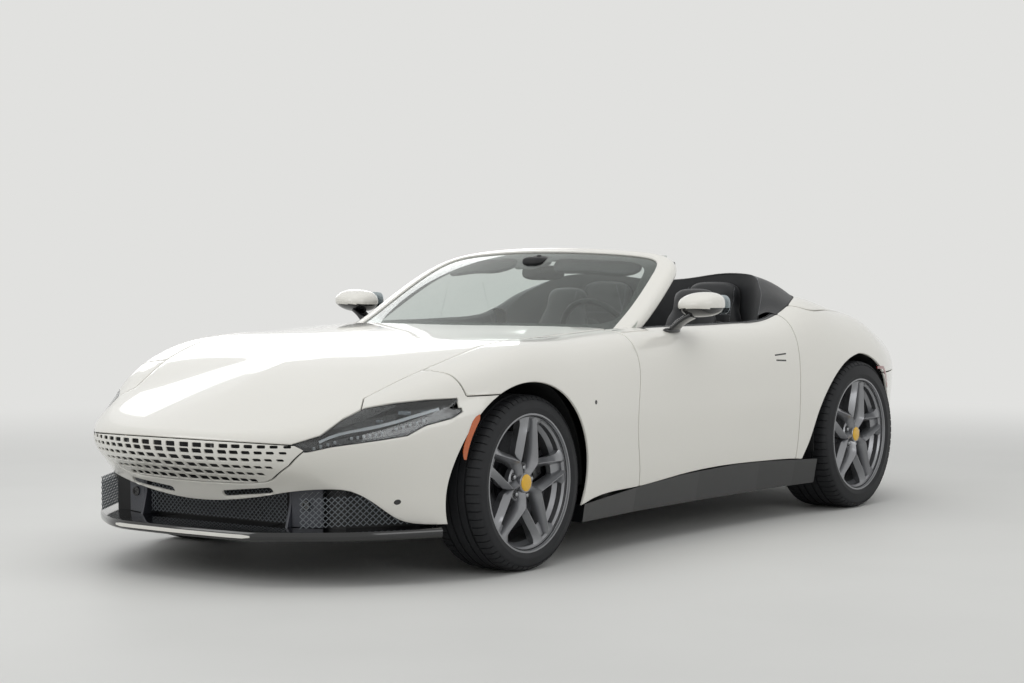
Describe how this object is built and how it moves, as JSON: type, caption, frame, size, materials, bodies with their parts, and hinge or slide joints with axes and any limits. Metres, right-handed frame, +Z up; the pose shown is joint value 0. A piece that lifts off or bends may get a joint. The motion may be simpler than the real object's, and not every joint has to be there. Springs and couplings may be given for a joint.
{
  "type": "roadster convertible",
  "caption": "Low front-engined grand-touring convertible, roof stowed, with turning wheels, steering, opening doors, bonnet and boot lid.",
  "frame": {"origin": "on the ground at mid-length on the car's centre plane", "axes": "+X towards the nose, +Y towards the car's left, +Z up"},
  "size_m": [4.656, 2.124, 1.26],
  "materials": {
    "body_paint": "pearl gloss",
    "black_trim": "satin",
    "headlamp": "dark gloss",
    "tail_lamp": "gloss",
    "windscreen_glass": "clear",
    "interior_leather": "grained",
    "exhaust_steel": "polished",
    "engine_alloy": "cast",
    "suspension_alloy": "cast",
    "wheel_alloy": "painted silver",
    "tyre_rubber": "matt",
    "brake_iron": "machined"
  },
  "bodies": {
    "chassis": {"front_bumper": "body_paint", "grille": "body_paint", "front_fenders": "body_paint", "rear_quarters": "body_paint", "rear_bumper": "body_paint", "rear_deck": "body_paint", "windscreen_frame": "body_paint", "splitter": "black_trim", "side_skirts": "black_trim", "diffuser": "black_trim", "intake_mesh": "black_trim", "cowl": "black_trim", "arch_liners": "black_trim", "floor_pan": "black_trim", "headlamps": "headlamp", "tail_lamps": "tail_lamp", "windscreen": "windscreen_glass", "front_seats": "interior_leather", "rear_seats": "interior_leather", "cabin_surround": "interior_leather", "dashboard": "interior_leather", "centre_console": "interior_leather", "exhaust_tips": "exhaust_steel", "engine_block": "engine_alloy", "front_subframe": "suspension_alloy", "rear_subframe": "suspension_alloy", "rear_uprights": "suspension_alloy"},
    "door_left": {"door_left": "body_paint", "mirror_left": "body_paint"},
    "door_right": {"door_right": "body_paint", "mirror_right": "body_paint"},
    "bonnet": {"bonnet": "body_paint"},
    "boot_lid": {"boot_lid": "body_paint"},
    "steering_wheel": {"steering_wheel": "interior_leather"},
    "knuckle_left": {"knuckle_left": "suspension_alloy"},
    "knuckle_right": {"knuckle_right": "suspension_alloy"},
    "wheel_front_left": {"rim_front_left": "wheel_alloy", "tyre_front_left": "tyre_rubber", "brake_disc_front_left": "brake_iron"},
    "wheel_front_right": {"rim_front_right": "wheel_alloy", "tyre_front_right": "tyre_rubber", "brake_disc_front_right": "brake_iron"},
    "wheel_rear_left": {"rim_rear_left": "wheel_alloy", "tyre_rear_left": "tyre_rubber", "brake_disc_rear_left": "brake_iron"},
    "wheel_rear_right": {"rim_rear_right": "wheel_alloy", "tyre_rear_right": "tyre_rubber", "brake_disc_rear_right": "brake_iron"}
  },
  "joints": [
    {"name": "steer_left", "type": "hinge", "parent": "chassis", "child": "knuckle_left", "pos_m": [1.305, 0.76, 0.34], "axis": [0, 0, 1], "range_deg": [-30, 30]},
    {"name": "steer_right", "type": "hinge", "parent": "chassis", "child": "knuckle_right", "pos_m": [1.305, -0.76, 0.34], "axis": [0, 0, 1], "range_deg": [-30, 30]},
    {"name": "steering_wheel_turn", "type": "hinge", "parent": "chassis", "child": "steering_wheel", "pos_m": [0, 0.37, 0.85], "axis": [-0.9063, 0, 0.4226], "range_deg": [-360, 360]},
    {"name": "spin_front_left", "type": "hinge", "parent": "knuckle_left", "child": "wheel_front_left", "pos_m": [1.305, 0.826, 0.34], "axis": [0, 1, 0], "continuous": true},
    {"name": "spin_front_right", "type": "hinge", "parent": "knuckle_right", "child": "wheel_front_right", "pos_m": [1.305, -0.826, 0.34], "axis": [0, 1, 0], "continuous": true},
    {"name": "spin_rear_left", "type": "hinge", "parent": "chassis", "child": "wheel_rear_left", "pos_m": [-1.365, 0.8395, 0.354], "axis": [0, 1, 0], "continuous": true},
    {"name": "spin_rear_right", "type": "hinge", "parent": "chassis", "child": "wheel_rear_right", "pos_m": [-1.365, -0.8395, 0.354], "axis": [0, 1, 0], "continuous": true},
    {"name": "door_left_swing", "type": "hinge", "parent": "chassis", "child": "door_left", "pos_m": [0.633, 0.915, 0.57], "axis": [0, 0, -1], "range_deg": [0, 60]},
    {"name": "door_right_swing", "type": "hinge", "parent": "chassis", "child": "door_right", "pos_m": [0.633, -0.915, 0.57], "axis": [0, 0, 1], "range_deg": [0, 60]},
    {"name": "bonnet_lift", "type": "hinge", "parent": "chassis", "child": "bonnet", "pos_m": [0.462, 0, 0.86], "axis": [0, -1, 0], "range_deg": [0, 50]},
    {"name": "boot_lift", "type": "hinge", "parent": "chassis", "child": "boot_lid", "pos_m": [-1.6, 0, 0.915], "axis": [0, 1, 0], "range_deg": [0, 60]}
  ],
  "couplings": [
    {"joint": "steer_right", "follows": "steer_left", "ratio": 1},
    {"joint": "steering_wheel_turn", "follows": "steer_left", "ratio": 12}
  ]
}
